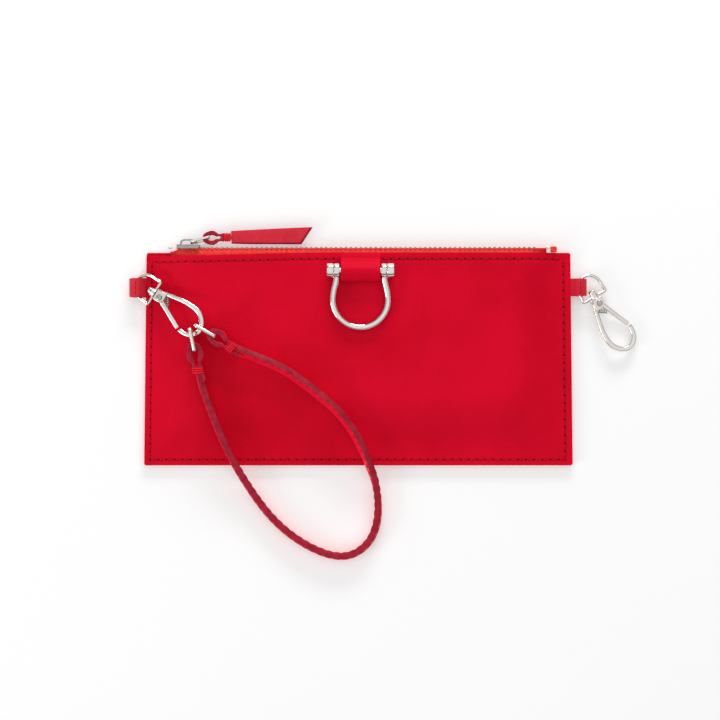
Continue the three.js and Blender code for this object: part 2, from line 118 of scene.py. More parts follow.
class Shader:
    """A material and the few nodes that every surface here is made of."""

    def __init__(self, name):
        self.material = bpy.data.materials.new(name)
        self.material.use_nodes = True
        self.tree = self.material.node_tree
        self.surface = self.tree.nodes["Principled BSDF"]
        self.place = self.node("ShaderNodeTexCoord").outputs["Object"]

    def node(self, kind, **values):
        made = self.tree.nodes.new(kind)
        for key, value in values.items():
            if hasattr(made, key):
                setattr(made, key, value)
            else:
                made.inputs[key.replace("_", " ").title()].default_value = value
        return made

    def link(self, a, b):
        self.tree.links.new(a, b)

    def noise(self, scale, detail=2.0, rough=0.5):
        made = self.node("ShaderNodeTexNoise", Scale=scale, Detail=detail, Roughness=rough)
        self.link(self.place, made.inputs["Vector"])
        return made.outputs["Fac"]

    def cells(self, scale):
        made = self.node("ShaderNodeTexVoronoi", Scale=scale)
        self.link(self.place, made.inputs["Vector"])
        return made.outputs["Distance"]

    def ribs(self, pitch, direction):
        scale = 2 * math.pi / (20 * pitch * MM)
        made = self.node("ShaderNodeTexWave", bands_direction=direction, Scale=scale)
        self.link(self.place, made.inputs["Vector"])
        return made.outputs["Fac"]

    def spread(self, source, low, high, socket):
        """Maps a texture's middle range onto low to high, and feeds a number socket."""
        made = self.node("ShaderNodeMapRange")
        for key, value in (("From Min", 0.3), ("From Max", 0.7), ("To Min", low), ("To Max", high)):
            made.inputs[key].default_value = value
        self.link(source, made.inputs["Value"])
        self.link(made.outputs["Result"], self.surface.inputs[socket])

    def colour(self, source, dark, light):
        ramp = self.node("ShaderNodeValToRGB")
        ramp.color_ramp.elements[0].position = 0.35
        ramp.color_ramp.elements[1].position = 0.65
        ramp.color_ramp.elements[0].color = dark
        ramp.color_ramp.elements[1].color = light
        self.link(source, ramp.inputs["Fac"])
        self.link(ramp.outputs["Color"], self.surface.inputs["Base Color"])

    def bump(self, *layers):
        """Stacks (height texture, strength, depth in mm) layers of surface relief."""
        normal = None
        for source, strength, depth in layers:
            made = self.node("ShaderNodeBump", Strength=strength, Distance=depth * MM)
            self.link(source, made.inputs["Height"])
            if normal:
                self.link(normal, made.inputs["Normal"])
            normal = made.outputs["Normal"]
        self.link(normal, self.surface.inputs["Normal"])

    def set(self, **values):
        for key, value in values.items():
            self.surface.inputs[key.replace("_", " ")].default_value = value


def leather_finish():
    s = Shader("leather_red")
    s.colour(s.noise(22, 5, 0.6), linear(204, 1, 33), linear(218, 4, 41))
    s.spread(s.noise(900), 0.48, 0.6, "Roughness")
    s.bump((s.noise(240, 3), 0.3, 0.3), (s.cells(780), 0.3, 0.2), (s.noise(2400, 3), 0.16, 0.08))
    s.set(Specular_IOR_Level=0.05)
    return s.material


# The strap's red leather, painted brighter than the pouch's: its own red plus a painted highlight for light
# from the lower left on the band's sides and its eyes.
def band_highlight_finish():
    s = Shader("strap_leather_painted_highlight")
    s.colour(s.noise(60, 4), linear(238, 8, 46), linear(250, 18, 58))
    s.spread(s.noise(900), 0.42, 0.54, "Roughness")
    s.bump((s.cells(780), 0.25, 0.18), (s.noise(2400, 3), 0.16, 0.08))
    s.set(Specular_IOR_Level=0.2)
    return s.material


def edge_finish():
    s = Shader("edge_paint")
    s.colour(s.noise(260, 3), linear(146, 10, 34), linear(172, 28, 54))
    s.spread(s.noise(700), 0.42, 0.55, "Roughness")
    s.bump((s.noise(1100, 3), 0.25, 0.12))
    s.set(Specular_IOR_Level=0.2)
    return s.material


# A lighter, pinker copy of the red leather: painted sheen, standing in for glancing light on the zip pull's
# strip and the side tabs.
def sheen_leather_finish():
    s = Shader("painted_sheen_leather")
    s.colour(s.noise(90, 4), linear(204, 30, 52), linear(216, 48, 66))
    s.spread(s.noise(900), 0.44, 0.56, "Roughness")
    s.bump((s.cells(780), 0.25, 0.18), (s.noise(2400, 3), 0.16, 0.08))
    s.set(Specular_IOR_Level=0.15)
    return s.material


def thread_finish(name, dark, light):
    s = Shader(name)
    s.colour(s.noise(1600, 2), dark, light)
    s.set(Roughness=0.7, Specular_IOR_Level=0.1)
    s.bump((s.ribs(0.45, "DIAGONAL"), 0.4, 0.1))
    return s.material


def tape_finish():
    s = Shader("zip_tape_weave")
    s.colour(s.noise(900, 2), linear(230, 52, 46), linear(244, 74, 66))
    s.set(Roughness=0.9, Specular_IOR_Level=0.1)
    s.bump((s.ribs(0.62, "X"), 0.5, 0.14), (s.noise(2500), 0.2, 0.08))
    return s.material


def lining_finish():
    s = Shader("lining_cloth")
    s.colour(s.noise(600, 2), linear(128, 16, 30), linear(146, 24, 38))
    s.set(Roughness=0.9)
    s.bump((s.ribs(0.5, "X"), 0.3, 0.08), (s.ribs(0.5, "Y"), 0.3, 0.08))
    return s.material


def metal_finish(name, dark, light, low, high):
    s = Shader(name)
    s.colour(s.noise(60, 3), dark, light)
    s.spread(s.noise(320, 4), low, high, "Roughness")
    s.bump((s.noise(500, 2), 0.05, 0.1))
    s.set(Metallic=1.0)
    return s.material


LOOK = {
    "leather": leather_finish(),
    "band": band_highlight_finish(),
    "edge": edge_finish(),
    "sheen": sheen_leather_finish(),
    "thread": thread_finish("thread_red", linear(168, 4, 28), linear(196, 10, 36)),
    "binding": thread_finish("thread_bright", linear(222, 18, 40), linear(240, 34, 56)),
    # Needle holes: dark red, painted shade inside each hole.
    "hole": thread_finish("stitch_hole_shade", linear(84, 0, 10), linear(104, 2, 16)),
    "tape": tape_finish(),
    "lining": lining_finish(),
    "nickel": metal_finish("polished_nickel", linear(224, 217, 210), linear(234, 229, 224), 0.05, 0.11),
    # A darker copy of the nickel, painted shade: it keeps the zip teeth and the slider's hood grey rather
    # than lit white.
    "tooth": metal_finish("shaded_nickel", linear(150, 142, 136), linear(172, 166, 160), 0.28, 0.4),
    "steel": metal_finish("spring_steel", linear(176, 172, 168), linear(196, 192, 188), 0.22, 0.34),
}


# Building pieces: every shape is made in millimetres and placed by a matrix in millimetres.
def ready(name, body, looks, mesh, stands_for=()):
    """Turns a mesh in millimetres into a finished piece on a body."""
    mesh.transform(Matrix.Scale(MM, 4))
    made = bpy.data.objects.new(name, mesh)
    SCENE.collection.objects.link(made)
    for look in looks:
        mesh.materials.append(LOOK[look])
    mesh.shade_smooth()
    mesh.set_sharp_from_angle(angle=math.radians(SHARP_EDGE))
    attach(made, body)
    if stands_for:
        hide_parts(*stands_for)
    return made


def joined(*meshes):
    """Several meshes as one."""
    made = bmesh.new()
    for mesh in meshes:
        made.from_mesh(mesh)
    result = bpy.data.meshes.new("joined")
    made.to_mesh(result)
    made.free()
    return result


def moved(mesh, place):
    """The same mesh, moved by a matrix."""
    mesh.transform(place)
    return mesh


def baked(thing):
    """The mesh of an object with its modifiers, after which the object is gone."""
    bpy.context.view_layer.update()
    view = thing.evaluated_get(bpy.context.evaluated_depsgraph_get())
    mesh = bpy.data.meshes.new_from_object(view)
    bpy.data.objects.remove(thing)
    return mesh


def thickened(mesh, thickness, offset=0, round_edge=0):
    """An open sheet given its thickness; with round_edge its rim is painted and rounded off."""
    thing = bpy.data.objects.new("sheet", mesh)
    SCENE.collection.objects.link(thing)
    thick = thing.modifiers.new("thick", "SOLIDIFY")
    thick.thickness = thickness
    thick.offset = offset
    if round_edge:
        mesh.materials.append(LOOK["leather"])
        mesh.materials.append(LOOK["edge"])
        thick.material_offset_rim = 1
        soft = thing.modifiers.new("soft", "BEVEL")
        soft.width = round_edge
        soft.segments = 3
        soft.angle_limit = math.radians(50)
    result = baked(thing)
    result.materials.clear()
    return result


def plate(outline, depth, bevel, holes=(), look=0, edge_look=None):
    """An outline in XY made solid about its plane, with rounded edges."""
    curve = bpy.data.curves.new("plate", "CURVE")
    curve.dimensions = "2D"
    curve.fill_mode = "BOTH"
    curve.extrude = depth / 2 - bevel
    curve.bevel_depth = bevel
    curve.bevel_resolution = 3
    curve.offset = -bevel
    for points in (outline, *holes):
        line = curve.splines.new("POLY")
        line.points.add(len(points) - 1)
        for point, (x, y) in zip(line.points, points):
            point.co = (x, y, 0, 1)
        line.use_cyclic_u = True
    thing = bpy.data.objects.new("plate", curve)
    SCENE.collection.objects.link(thing)
    made = bmesh.new()
    made.from_mesh(baked(thing))
    bmesh.ops.remove_doubles(made, verts=made.verts, dist=0.002)
    bmesh.ops.recalc_face_normals(made, faces=made.faces)
    for face in made.faces:
        side = abs(face.normal.z) < 0.8
        face.material_index = edge_look if side and edge_look is not None else look
    mesh = bpy.data.meshes.new("plate")
    made.to_mesh(mesh)
    made.free()
    return mesh


def block(x0, x1, y0, y1, z0, z1, bevel):
    """A box with rounded edges."""
    made = bmesh.new()
    bmesh.ops.create_cube(made, size=1)
    for vertex in made.verts:
        x, y, z = vertex.co
        vertex.co = (
            (x0 + x1) / 2 + x * (x1 - x0),
            (y0 + y1) / 2 + y * (y1 - y0),
            (z0 + z1) / 2 + z * (z1 - z0),
        )
    bmesh.ops.bevel(made, geom=made.edges[:], offset=bevel, segments=3, profile=0.6, affect="EDGES")
    mesh = bpy.data.meshes.new("block")
    made.to_mesh(mesh)
    made.free()
    return mesh


def skin(rings, around=True, along=False, caps=True, look=0):
    """A surface over rings of points; around closes each ring, along closes the row of rings."""
    count = len(rings[0])
    rows = len(rings)
    points = [p for ring in rings for p in ring]
    faces = []
    for i in range(rows if along else rows - 1):
        for j in range(count if around else count - 1):
            a, b = i * count, ((i + 1) % rows) * count
            k = (j + 1) % count
            faces.append((a + j, a + k, b + k, b + j))
    if caps and around and not along:
        faces.append(tuple(reversed(range(count))))
        faces.append(tuple((rows - 1) * count + j for j in range(count)))
    mesh = bpy.data.meshes.new("skin")
    mesh.from_pydata(points, [], faces)
    made = bmesh.new()
    made.from_mesh(mesh)
    bmesh.ops.recalc_face_normals(made, faces=made.faces)
    for face in made.faces:
        face.material_index = look
    made.to_mesh(mesh)
    made.free()
    return mesh


def turned(profile, sides=32):
    """A closed turned piece on the X axis, from [radius, x] corners that start and end on the axis."""
    rings = []
    for i in range(sides):
        angle = 2 * math.pi * i / sides
        rings.append([(x, r * math.cos(angle), r * math.sin(angle)) for r, x in profile])
    mesh = skin(rings, around=False, along=True, caps=False)
    made = bmesh.new()
    made.from_mesh(mesh)
    bmesh.ops.remove_doubles(made, verts=made.verts, dist=0.001)
    bmesh.ops.recalc_face_normals(made, faces=made.faces)
    made.to_mesh(mesh)
    made.free()
    return mesh


def curve_point(a, b, c, d, t):
    """A point between b and c, at share t, on the smooth curve through a, b, c and d."""
    square = 2 * a - 5 * b + 4 * c - d
    cube = 3 * b - a - 3 * c + d
    return 0.5 * ((2 * b) + (c - a) * t + square * t**2 + cube * t**3)


def smooth_line(points, spacing, closed=False):
    """A line through the points, smooth and evenly spaced."""
    points = [Vector(p) for p in points]
    n = len(points)
    fine = []
    for i in range(n if closed else n - 1):
        near = [(i + k) % n if closed else min(max(i + k, 0), n - 1) for k in (-1, 0, 1, 2)]
        corners = [points[k] for k in near]
        fine += [curve_point(*corners, step / 12) for step in range(12)]
    fine.append(points[0] if closed else points[-1])
    total = sum((b - a).length for a, b in zip(fine, fine[1:]))
    count = max(3, round(total / spacing))
    even, walked, at = [fine[0]], 0.0, 1
    for k in range(1, count):
        goal = total * k / count
        while walked + (fine[at] - fine[at - 1]).length < goal:
            walked += (fine[at] - fine[at - 1]).length
            at += 1
        share = (goal - walked) / (fine[at] - fine[at - 1]).length
        even.append(fine[at - 1].lerp(fine[at], share))
    if not closed:
        even.append(fine[-1])
    return even


def smooth_flat(points, spacing):
    """A smooth, evenly spaced line through (x, y) points."""
    return [(p.x, p.y) for p in smooth_line([(x, y, 0) for x, y in points], spacing)]


def ways(line, closed=False):
    """The direction of a line at each of its points."""
    n = len(line)
    if closed:
        return [(line[(i + 1) % n] - line[i - 1]).normalized() for i in range(n)]
    return [(line[min(i + 1, n - 1)] - line[max(i - 1, 0)]).normalized() for i in range(n)]


def swept(line, section, up=UP, closed=False, look=0):
    """A section of (side, up) points carried along a line."""
    rings = []
    for point, way in zip(line, ways(line, closed)):
        side = way.cross(up).normalized()
        top = side.cross(way)
        rings.append([point + side * s + top * u for s, u in section])
    return skin(rings, along=closed, look=look)


def circle(radius, sides):
    turns = [2 * math.pi * i / sides for i in range(sides)]
    return [(radius * math.cos(a), radius * math.sin(a)) for a in turns]


def rounded(x, y, radius, steps=4):
    """A rectangle -x to x by -y to y with round corners."""
    points = []
    for cx, cy, start in ((x, y, 0), (-x, y, 90), (-x, -y, 180), (x, -y, 270)):
        for k in range(steps + 1):
            a = math.radians(start + 90 * k / steps)
            centre = (math.copysign(abs(cx) - radius, cx), math.copysign(abs(cy) - radius, cy))
            points.append((centre[0] + radius * math.cos(a), centre[1] + radius * math.sin(a)))
    return points


def arc(radius, start, end, steps, x=0, y=0):
    turns = [math.radians(start + (end - start) * i / steps) for i in range(steps + 1)]
    return [(x + radius * math.cos(a), y + radius * math.sin(a)) for a in turns]


def stitch(middle, way, normal, radius, length, look=0):
    """One thread stitch: a small arch that goes down into the leather at both ends."""
    line = []
    for k in range(7):
        t = k / 6 - 0.5
        dip = radius * 1.1 * (1 - (2 * t) ** 4)
        line.append(middle + way * (t * length) + normal * (dip - radius * 0.75))
    return swept(line, circle(radius, 8), up=normal, look=look)


def needle_hole(centre, way, out, size, look):
    """A small shallow dimple, longer along its row than it is wide, painted dark as the shade inside a needle
    hole.
    """
    pit = bmesh.new()
    bmesh.ops.create_icosphere(pit, subdivisions=2, radius=size)
    turn = Matrix((way * 1.3, out.cross(way) * 1.1, out * 0.28)).transposed().to_4x4()
    bmesh.ops.transform(pit, verts=pit.verts, matrix=Matrix.Translation(centre) @ turn)
    for face in pit.faces:
        face.material_index = look
    mesh = bpy.data.meshes.new("pit")
    pit.to_mesh(mesh)
    pit.free()
    return mesh


def stitch_row(line, out, slant, look, hole=None, radius=None, length=None, pitch=None):
    """Stitches along a line of points one pitch apart, with a hole painted dark for its shade between each
    two.
    """
    size = radius or STITCH["radius"]
    pieces = []
    run = smooth_line(line, pitch or STITCH["pitch"])
    for start, end in zip(run, run[1:]):
        way = (end - start).normalized()
        tilted = Matrix.Rotation(math.radians(slant), 3, out) @ way
        pieces.append(stitch((start + end) / 2, tilted, out, size, length or STITCH["length"], look))
        if hole is not None:
            pieces.append(needle_hole(start, way, out, size * 1.5, hole))
    return joined(*pieces)


# The wrist strap: two layers of leather with painted edges, standing on edge
def lean_at(share):
    """How far the band leans over, in degrees: one way on the face, a little the other way below it."""
    low, high = 0.28, 0.46
    t = min(max((share - low) / (high - low), 0), 1)
    return 24 - 33 * t * t * (3 - 2 * t)


def band_section():
    """Outline of the band as (side, up), a little fuller at half its height."""
    x, y = BAND["thick"] / 2, BAND["width"] / 2
    points = rounded(x, y, 0.55)
    return [(s * (1 + 0.03 * math.cos(math.pi * u / (2 * y))), u) for s, u in points]


def band_frames(line):
    """For each point of the line: its way, side and top, leaning as the band does there."""
    frames = []
    for i, way in enumerate(ways(line)):
        side = way.cross(UP).normalized()
        turn = Matrix.Rotation(-math.radians(lean_at(i / (len(line) - 1))), 3, way)
        frames.append((way, turn @ side, turn @ side.cross(way)))
    return frames


def wrist_strap():
    run = [NECK["b"], *ROUTE, NECK["a"]]
    line = smooth_line(run, 1.1)
    section = band_section()
    frames = band_frames(line)
    rings = []
    for point, (_, side, top) in zip(line, frames):
        rings.append([point + side * s + top * u for s, u in section])
    mesh = skin(rings)
    painted_above = BAND["width"] / 2 - 0.4
    for face in mesh.polygons:
        share = sum(abs(section[v % len(section)][1]) for v in face.vertices) / len(face.vertices)
        face.material_index = 1 if share > painted_above else 0
    pieces = [mesh]
    for spot in smooth_line(run, 4.3)[3:-3]:
        near = min(range(len(line)), key=lambda k: (line[k] - spot).length)
        way, side, top = frames[near]
        for s in (-1, 1):
            middle = spot + side * (s * (BAND["thick"] / 2 - 0.02)) + top * (BAND["width"] / 2 - 1.2)
            pieces.append(stitch(middle, way, side * s, 0.26, STITCH["length"], look=2))
    # The band's faces take the brighter strap leather, a painted highlight; its top and bottom take the edge
    # paint.
    made = ready("wrist_strap_band", "strap", ["band", "edge", "thread"], joined(*pieces), ["wrist_strap"])
    centre = [tuple(p * MM for p in point) for point in line]
    return made, centre



# The pouch. CREASES are the leather's fine wrinkles: x, y, direction in radians, reach, depth
CREASES = [
    (66, 40, 0.15, 10, 0.12), (78, 44, -0.5, 7, 0.12), (84, 37, 0.9, 6, 0.1), (94, 22, 1.4, 9, 0.1),
    (-42, 26, 0.2, 9, 0.07), (36, -42, 0.1, 8, 0.07), (-88, -34, 1.2, 8, 0.07), (70, -18, 0.5, 10, 0.05),
]


def smooth(t):
    """0 to 1 with soft ends."""
    t = min(max(t, 0), 1)
    return t * t * (3 - 2 * t)


def half_width(y):
    """Half the pouch's width at a height, because it narrows a little towards the zip."""
    share = (y - POUCH["bottom"]) / (POUCH["top"] - POUCH["bottom"])
    return (POUCH["bottom_width"] + (POUCH["top_width"] - POUCH["bottom_width"]) * share) / 2


def face_height(x, y):
    """Height of the front face over the back: flat seams, a full middle, an open zip side."""
    ramp = RAMP["side"] + (RAMP["zip_side"] - RAMP["side"]) * smooth((y - 30) / 20)
    side = (half_width(y) - abs(x) - SEAM_MARGIN) / ramp
    bottom = (y - POUCH["bottom"] - SEAM_MARGIN) / RAMP["bottom"]
    if side <= 0 or bottom <= 0:
        return SEAM_DEPTH
    nearest = (side**-4 + bottom**-4) ** -0.25
    return SEAM_DEPTH + (POUCH["depth"] - SEAM_DEPTH) * smooth(nearest)


def creases(x, y):
    """The soft waves and the few fine creases of handled leather; never above the plain face."""
    soft = 0.16 * math.sin(x * 0.045 + 0.6) * math.sin(y * 0.06 + 1.1) + 0.1 * math.sin(x * 0.021 - y * 0.047)
    fine = 0.0
    for cx, cy, way, reach, depth in CREASES:
        dx, dy = x - cx, y - cy
        a = dx * math.cos(way) + dy * math.sin(way)
        b = -dx * math.sin(way) + dy * math.cos(way)
        bend = b - 0.015 * a * a
        fine -= depth * math.exp(-((a / reach) ** 2) - (bend / 0.8) ** 2)
    return soft - 0.26 + fine


def spaced(low, high, edge, fine, coarse):
    """Places from low to high, close together near both ends and wider apart between."""
    count = round(edge / fine)
    middle = round((high - low - 2 * edge) / coarse)
    first = [low + edge * k / count for k in range(count)]
    centre = [low + edge + (high - low - 2 * edge) * k / middle for k in range(middle)]
    return first + centre + [high - edge * k / count for k in range(count, -1, -1)]


def corner_cut(y):
    """How much narrower the panel is where its corners are rounded."""
    near = min(y - POUCH["bottom"], POUCH["top"] - y)
    return 0 if near >= CORNER else CORNER - math.sqrt(max(0, CORNER**2 - (CORNER - near) ** 2))


def panel(height, thickness, name, node, dip=lambda x: 0):
    """A leather panel whose outer side follows height; a negative thickness makes it face down."""
    shares = [s / 100 for s in spaced(-100, 100, 6, 0.45, 1.3)]
    levels = spaced(POUCH["bottom"], POUCH["top"], 6, 0.45, 1.3)
    rows = []
    for y in levels:
        half = half_width(y) - corner_cut(y)
        drop = smooth((y - 40) / 14)
        rows.append([(s * half, y - drop * dip(s * half), height(s * half, y)) for s in shares])
    mesh = skin(rows, around=False, caps=False)
    made = bmesh.new()
    made.from_mesh(mesh)
    up = sum(face.normal.z * face.calc_area() for face in made.faces)
    if (up < 0) == (thickness > 0):
        bmesh.ops.reverse_faces(made, faces=made.faces)
    made.to_mesh(mesh)
    made.free()
    ready(name, "pouch", ["leather", "edge"], thickened(mesh, abs(thickness), -1, 0.34), [node])


def seam_groove(x, y):
    """The leather drawn down a little along its stitch lines."""
    side = half_width(y) - abs(x)
    bottom = y - POUCH["bottom"] - STITCH_INSET["bottom"]
    top = POUCH["top"] - STITCH_INSET["top"] - y
    near = min(abs(side - GROOVE_INSET), abs(bottom), abs(top))
    return 0.22 * math.exp(-((near / 0.7) ** 2))


def lip_dip(x):
    """How far the front panel's zip edge dips below its top at the slider's end."""
    return 1.5 * smooth((-x - 15) / 80)


def front_height(x, y):
    inner = smooth(min(half_width(y) - abs(x), y - POUCH["bottom"], POUCH["top"] - y) / 14)
    return face_height(x, y) + creases(x, y) * inner - seam_groove(x, y)


def back_height(x, y):
    return 0.08 * smooth((half_width(y) - abs(x)) / 20)


def seam_stitches():
    """The stitching down both sides and along the bottom, on the front and on the back."""
    low, high = POUCH["bottom"] + STITCH_INSET["bottom"], POUCH["top"] - STITCH_INSET["left"]
    wide = half_width(low) - STITCH_INSET["left"]
    slant = STITCH["slant"]
    rows = {
        "left": ([(-half_width(y) + STITCH_INSET["left"], y) for y in (low, 0, high)], -slant),
        "bottom": ([(share * wide, low) for share in (-1, -0.5, 0, 0.5, 1)], slant),
        "right": ([(half_width(y) - STITCH_INSET["right"], y) for y in (low, 0, high)], -slant),
    }
    for side, (points, lean) in rows.items():
        run = smooth_line([(x, y, 0) for x, y in points], STITCH["pitch"])
        front = [Vector((p.x, p.y, front_height(p.x, p.y) + 0.02)) for p in run]
        back = [Vector((p.x, p.y, 0)) for p in run]
        made = joined(
            stitch_row(front, UP, lean, 0, 1),
            stitch_row(back, -UP, lean, 0, 1, radius=0.05),
        )
        ready(f"seam_stitches_{side}", "pouch", ["thread", "hole"], made)


def zip_stitches():
    """The stitching along the zip, which follows the dip of the front panel's edge."""
    y = POUCH["top"] - STITCH_INSET["top"]
    wide = half_width(y) - 5
    ends = [share * wide for share in (-1, -0.8, -0.6, -0.4, -0.2, 0, 0.3, 0.6, 1)]
    run = smooth_line([(x, y - lip_dip(x), 0) for x in ends], STITCH["pitch"])
    row = [Vector((p.x, p.y, front_height(p.x, p.y + lip_dip(p.x)) + 0.02)) for p in run]
    ready("zip_stitches", "pouch", ["thread", "hole"], stitch_row(row, UP, STITCH["slant"], 0, 1))


def pouch():
    panel(front_height, LEATHER, "front_leather", "front_panel", lip_dip)
    panel(back_height, -LEATHER, "back_leather", "back_panel")
    seam_stitches()
    zip_stitches()


def lining(word, height):
    """One side of the cloth pocket inside."""
    low, high = POUCH["bottom"] + LINING["inset"], LINING["top"]
    rows = []
    for k in range(15):
        y = low + (high - low) * k / 14
        half = half_width(y) - LINING["inset"]
        rows.append([(half * (j / 20 - 1), y, height(half * (j / 20 - 1), y)) for j in range(41)])
    cloth = thickened(skin(rows, around=False, caps=False), LINING["thick"])
    ready(f"{word}_lining_cloth", "pouch", ["lining"], cloth, [f"{word}_lining"])


# The zip, seen in section from the side: y up out of the mouth, z from the back to the front
def tape(side):
    """One tape: flat against its panel inside, then turned over towards the teeth."""
    rows = []
    for k in range(161):
        x = ZIP["half_length"] * (k / 80 - 1)
        wall = face_height(x, 50.5) - LEATHER - 0.7 if side > 0 else LEATHER + GAP + 0.25
        edge = ZIP["middle"] + side * 0.55
        lip = wall + side * 0.1
        dive = 1.9 * smooth((-x - 88) / 7)
        bent = [
            (44.4, wall), (49, wall), (51.6, wall), (53.2, lip), (54.6, lip - side * 0.5),
            (55.4, (lip + edge) / 2), (56.1, edge + side * 1.1), (56.2, edge),
        ]
        rows.append([(x, y - dive * smooth((y - 49) / 6), z) for y, z in bent])
    cloth = thickened(skin(rows, around=False, caps=False), ZIP["tape"])
    word = "front" if side > 0 else "back"
    ready(f"zip_tape_{word}_cloth", "pouch", ["tape"], cloth, [f"zip_tape_{word}"])


def tooth(x, side):
    """One zip tooth: a rounded block clamped on the tape's edge, reaching over the middle."""
    half = 0.5
    low, high = sorted((-side, side * 2.6))
    top = 56.95 if side > 0 else 56.4
    return block(x - half, x + half, 55.8, top, low + ZIP["middle"], high + ZIP["middle"], 0.28)


def zip_teeth():
    pitch, count = ZIP["pitch"], ZIP["teeth"]
    for side, word in ((1, "front"), (-1, "back")):
        start = -count * pitch / 2 + (0 if side > 0 else pitch / 2)
        row = joined(*[tooth(start + i * pitch, side) for i in range(count)])
        # The teeth take the darker nickel, which is painted shade.
        ready(f"zip_{word}_tooth_row", "pouch", ["tooth"], row, [f"zip_teeth_{word}"])


def zip_ends():
    """The metal stops clamped beside the last teeth, and the tape's folded end."""
    stops = {
        "front": block(-96, -94.3, 55.9, 57, 4.8, 7.2, 0.3),
        "back": block(-96, -94.3, 55.9, 57, 2, 4.4, 0.3),
        "end": block(94.6, 96.6, 55.9, 57, 2, 7.2, 0.3),
    }
    for word, mesh in stops.items():
        ready(f"zip_{word}_stop", "pouch", ["nickel"], mesh, [f"zip_stop_{word}"])
    fold = block(97.2, 100.2, 54.3, 57.2, 0.6, 5.2, 0.7)
    ready("zip_folded_end", "pouch", ["tape"], fold, ["zip_end_fold"])


def slider():
    """A hood over the teeth with a cheek on each face, a bridge for the pull, and a lower shield."""
    x = -91.7
    crown = [(0, 57.3), (0.3, 57.9), (1.5, 58.2), (9.5, 58.2), (11.2, 57.9), (11.7, 57.3)]
    middle = Matrix.Translation((0, 0, ZIP["middle"]))
    hood = moved(plate([(x + a, b) for a, b in crown], 9, 0.22), middle)
    flank = [(0.1, 56.3), (0.9, 56.0), (10.2, 56.0), (11.6, 56.6), (11.7, 58), (0, 58)]
    cheeks = []
    for z in (0.55, 8.65):
        cheeks.append(moved(plate([(x + a, b) for a, b in flank], 0.9, 0.22), Matrix.Translation((0, 0, z))))
    bow = [(1.9, 57.6), (2.1, 59.3), (2.9, 60.2), (4.4, 60.5), (8, 60.5), (9.4, 60.2), (10, 59.3),
           (10.1, 57.6)]
    line = smooth_line([(x + a, b, ZIP["middle"]) for a, b in bow], 0.35)
    bridge = swept(line, rounded(0.4, 1.1, 0.2))
    # The hood, cheeks and bridge take the darker nickel, painted shade; the lower shield keeps the plain
    # nickel.
    ready("zip_slider_shell", "slider", ["tooth"], joined(hood, *cheeks, bridge), ["zip_slider"])
    under = block(x + 1.5, x + 11.1, 53.2, 54.3, 2.4, 4.7, 0.3)
    ready("zip_slider_under", "slider", ["nickel"], under, ["zip_slider_lower"])


def joint_place(name):
    """A joint's place in millimetres and its axis."""
    found = next(j for j in frame["joints"] if j["name"] == name)
    return Vector(found["pos_m"]) / MM, Vector(found["axis"]).normalized()


def eye_outline(neck, width, leather, hole):
    """A teardrop of leather drawn out from a bar at the origin to a neck, and its hollow."""
    half = width / 2
    back = hole + leather
    side = [(-back, 0), (-back * 0.86, half * 0.5), (-back * 0.2, half * 0.86), (neck * 0.3, half),
            (neck * 0.55, half * 0.8), (neck * 0.78, half * 0.5), (neck + 1, leather * 0.98)]
    room = half - leather
    inner = [(-hole, 0), (-hole * 0.8, room * 0.55), (0, room * 0.86), (neck * 0.3, room),
             (neck * 0.55, half * 0.8 - leather), (neck * 0.78, half * 0.22)]
    upper, lower = smooth_flat(side, 0.35), smooth_flat(inner, 0.35)
    outline = upper + [(x, -y) for x, y in reversed(upper[1:])]
    hollow = lower + [(neck - 0.4, 0)] + [(x, -y) for x, y in reversed(lower[1:])]
    return outline, hollow


def winding(half_y, half_z, turns, pitch, radius, slant=0):
    """Thread wound round a flat neck that runs along X."""
    loop = rounded(half_y + radius, half_z + radius, min(0.8, half_y))
    line = []
    for turn in range(turns):
        for k, (y, z) in enumerate(loop):
            share = turn + k / len(loop)
            line.append(((share - turns / 2) * pitch + slant * y, y, z))
    return swept(smooth_line(line, 0.4), circle(radius, 10), up=Vector((1, 0.01, 0.02)))


def pull():
    """The wire link on the slider's bridge, and the leather strip bound round it."""
    pivot, _ = joint_place("link_swing")
    hold, _ = joint_place("pull_swing")
    way = (hold - pivot).normalized()
    tilt = math.atan2(way.y, way.x)
    length = (hold - pivot).length
    on_edge = Matrix.Rotation(math.radians(82), 4, "X")
    place = Matrix.Translation(pivot) @ Matrix.Rotation(tilt, 4, "Z") @ on_edge
    bar = 1.2
    outer = [(x + length / 2, y) for x, y in rounded(length / 2 + bar / 2, 3.7, 0.9)]
    inner = [(x + length / 2, y) for x, y in rounded(length / 2 - bar / 2, 2.5, 0.4)]
    link = moved(plate(outer, bar, 0.3, [inner]), place)
    ready("pull_link_frame", "link", ["nickel"], link, ["pull_link"])

    place = Matrix.Translation(hold) @ Matrix.Rotation(math.radians(2.2), 4, "Z")
    outer, inner = eye_outline(6.6, 7.2, 2.2, 0.95)
    loop = plate(outer, 3.7, 0.35, [inner], look=1, edge_look=0)
    neck = block(6.4, 12, -1.25, 1.25, -1.5, 1.5, 0.3)
    grain = [(11.3, -2.7), (20, -3.2), (46, -4.2), (51.5, 3.5), (30, 3.4), (11.3, 3.1)]
    flesh = [(11.3, -3.3), (20, -3.9), (46.5, -5), (52.6, 3.5), (30, 3.1), (11.3, 2.8)]
    layers = [
        moved(plate(grain, 1.7, 0.3), Matrix.Translation((0, 0, 0.45))),
        moved(plate(flesh, 1.5, 0.3, look=1), Matrix.Translation((0, 0, -0.3))),
    ]
    strip = moved(joined(loop, neck, *layers), place)
    # The strip's face is painted with sheen; its edges take the edge paint.
    ready("zip_pull_strip", "puller", ["sheen", "edge"], strip, ["zip_pull"])
    turns = moved(winding(1.35, 1.65, 3, 0.95, 0.42), Matrix.Translation((9.3, 0, 0)))
    ready("zip_pull_threads", "puller", ["binding"], moved(turns, place), ["zip_pull_binding"])


